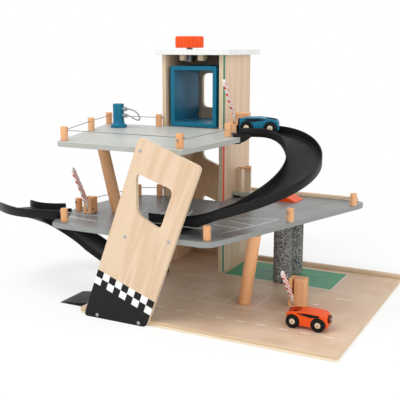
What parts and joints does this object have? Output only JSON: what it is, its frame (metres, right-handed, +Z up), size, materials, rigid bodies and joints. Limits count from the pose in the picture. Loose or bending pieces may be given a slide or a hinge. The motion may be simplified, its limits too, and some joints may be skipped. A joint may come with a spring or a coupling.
{
  "type": "toy parking garage with lift",
  "caption": "Wooden toy parking garage: stacked floors, hand-wound lift tower, turning tracks, barriers, car wash rollers, fuel column and small cars.",
  "frame": {"origin": "middle of the base board's underside", "axes": "+Z up, +X to the right along the base's front edge, +Y to the back, towards the lift tower"},
  "size_m": [0.781, 0.4913, 0.5225],
  "materials": {
    "ground_print": "printed plywood, satin",
    "floor_grey": "grey printed plywood, semi-gloss",
    "floor_pale": "pale grey stained plywood",
    "birch": "clear lacquered plywood",
    "beech": "clear lacquered beech",
    "white_paint": "white paint on board",
    "teal_paint": "teal blue paint on wood",
    "red_paint": "orange red paint on wood",
    "stripe_paint": "white paint with red bands",
    "black_plastic": "moulded, satin",
    "grey_plastic": "moulded, satin",
    "cord": "twisted cord",
    "steel": "dark rod",
    "foam": "rough speckled brush foam",
    "tyre": "black with light wood hub"
  },
  "bodies": {
    "garage": {"base_board": "ground_print", "base_back_rail": "birch", "middle_floor": "floor_grey", "middle_back_rail": "birch", "top_floor": "floor_pale", "front_panel": "birch", "tower_left_wall": "birch", "tower_right_wall": "birch", "tower_back_wall": "birch", "roof": "white_paint", "roof_block_left": "birch", "roof_block_right": "birch", "lift_guide": "birch", "lift_cord": "cord", "lower_column": "beech", "upper_column": "beech", "top_post_1": "beech", "top_post_2": "beech", "top_post_3": "beech", "top_post_4": "beech", "top_post_5": "beech", "top_post_6": "beech", "middle_post_1": "beech", "middle_post_2": "beech", "middle_post_3": "beech", "middle_post_4": "beech", "middle_post_5": "beech", "middle_post_6": "beech", "middle_post_7": "beech", "top_rail_cord": "cord", "top_side_cord": "cord", "middle_front_cord": "cord", "middle_left_cord": "cord", "middle_right_cord": "cord", "fuel_column": "teal_paint", "upper_nozzle": "grey_plastic", "lower_nozzle": "grey_plastic", "fuel_hose": "grey_plastic", "upper_track": "black_plastic", "lower_track": "black_plastic", "entry_ramp": "black_plastic", "speed_hump": "red_paint", "base_barrier_block": "beech", "middle_barrier_block": "beech", "top_barrier_block": "beech"},
    "lift": {"lift_cabin": "teal_paint"},
    "winch": {"winch_knob": "red_paint", "winch_shaft": "steel"},
    "base_arm": {"base_barrier_arm": "stripe_paint"},
    "middle_arm": {"middle_barrier_arm": "stripe_paint"},
    "top_arm": {"top_barrier_arm": "stripe_paint"},
    "front_roller": {"wash_roller_front": "foam"},
    "back_roller": {"wash_roller_back": "foam"},
    "red_car": {"red_car_body": "red_paint"},
    "red_rear_wheels": {"red_car_rear_wheels": "tyre"},
    "red_front_wheels": {"red_car_front_wheels": "tyre"},
    "blue_car": {"blue_car_body": "teal_paint"},
    "blue_rear_wheels": {"blue_car_rear_wheels": "tyre"},
    "blue_front_wheels": {"blue_car_front_wheels": "tyre"}
  },
  "joints": [
    {"name": "lift_slide", "type": "slide", "parent": "garage", "child": "lift", "axis": [0, 0, 1], "range_m": [-0.3175, 0], "deforming": ["lift_cord"]},
    {"name": "winch_turn", "type": "hinge", "parent": "garage", "child": "winch", "pos_m": [-0.2125, 0.14, 0.49], "axis": [0, 0, 1], "range_deg": [-1440, 0]},
    {"name": "base_arm_hinge", "type": "hinge", "parent": "garage", "child": "base_arm", "pos_m": [0.1089, -0.0398, 0.0188], "axis": [1, 0, 0], "range_deg": [-39, 49]},
    {"name": "middle_arm_hinge", "type": "hinge", "parent": "garage", "child": "middle_arm", "pos_m": [-0.298, -0.132, 0.1798], "axis": [1, 0, 0], "range_deg": [-28, 38]},
    {"name": "top_arm_hinge", "type": "hinge", "parent": "garage", "child": "top_arm", "pos_m": [-0.068, 0.072, 0.3493], "axis": [1, 0, 0], "range_deg": [-33, 55]},
    {"name": "front_roller_spin", "type": "hinge", "parent": "garage", "child": "front_roller", "pos_m": [0.033, 0.096, 0.085], "axis": [0, 0, 1], "continuous": true},
    {"name": "back_roller_spin", "type": "hinge", "parent": "garage", "child": "back_roller", "pos_m": [0.033, 0.166, 0.085], "axis": [0, 0, 1], "continuous": true},
    {"name": "red_car_roll", "type": "slide", "parent": "garage", "child": "red_car", "axis": [1, 0, 0], "range_m": [-0.2, 0.04]},
    {"name": "blue_car_roll", "type": "slide", "parent": "garage", "child": "blue_car", "axis": [-0.9767, -0.2147, 0], "range_m": [-0.004, 0.004]},
    {"name": "red_rear_wheel_spin", "type": "hinge", "parent": "red_car", "child": "red_rear_wheels", "pos_m": [0.146, -0.133, 0.0228], "axis": [0, 1, 0], "continuous": true},
    {"name": "blue_rear_wheel_spin", "type": "hinge", "parent": "blue_car", "child": "blue_rear_wheels", "pos_m": [0.02826, 0.02869, 0.3444], "axis": [0.2147, -0.9767, 0], "continuous": true},
    {"name": "red_front_wheel_spin", "type": "hinge", "parent": "red_car", "child": "red_front_wheels", "pos_m": [0.193, -0.133, 0.0228], "axis": [0, 1, 0], "continuous": true},
    {"name": "blue_front_wheel_spin", "type": "hinge", "parent": "blue_car", "child": "blue_front_wheels", "pos_m": [-0.01764, 0.0186, 0.3444], "axis": [0.2147, -0.9767, 0], "continuous": true}
  ],
  "couplings": [
    {"joint": "winch_turn", "follows": "lift_slide", "rad_per_m": 78.125}
  ]
}
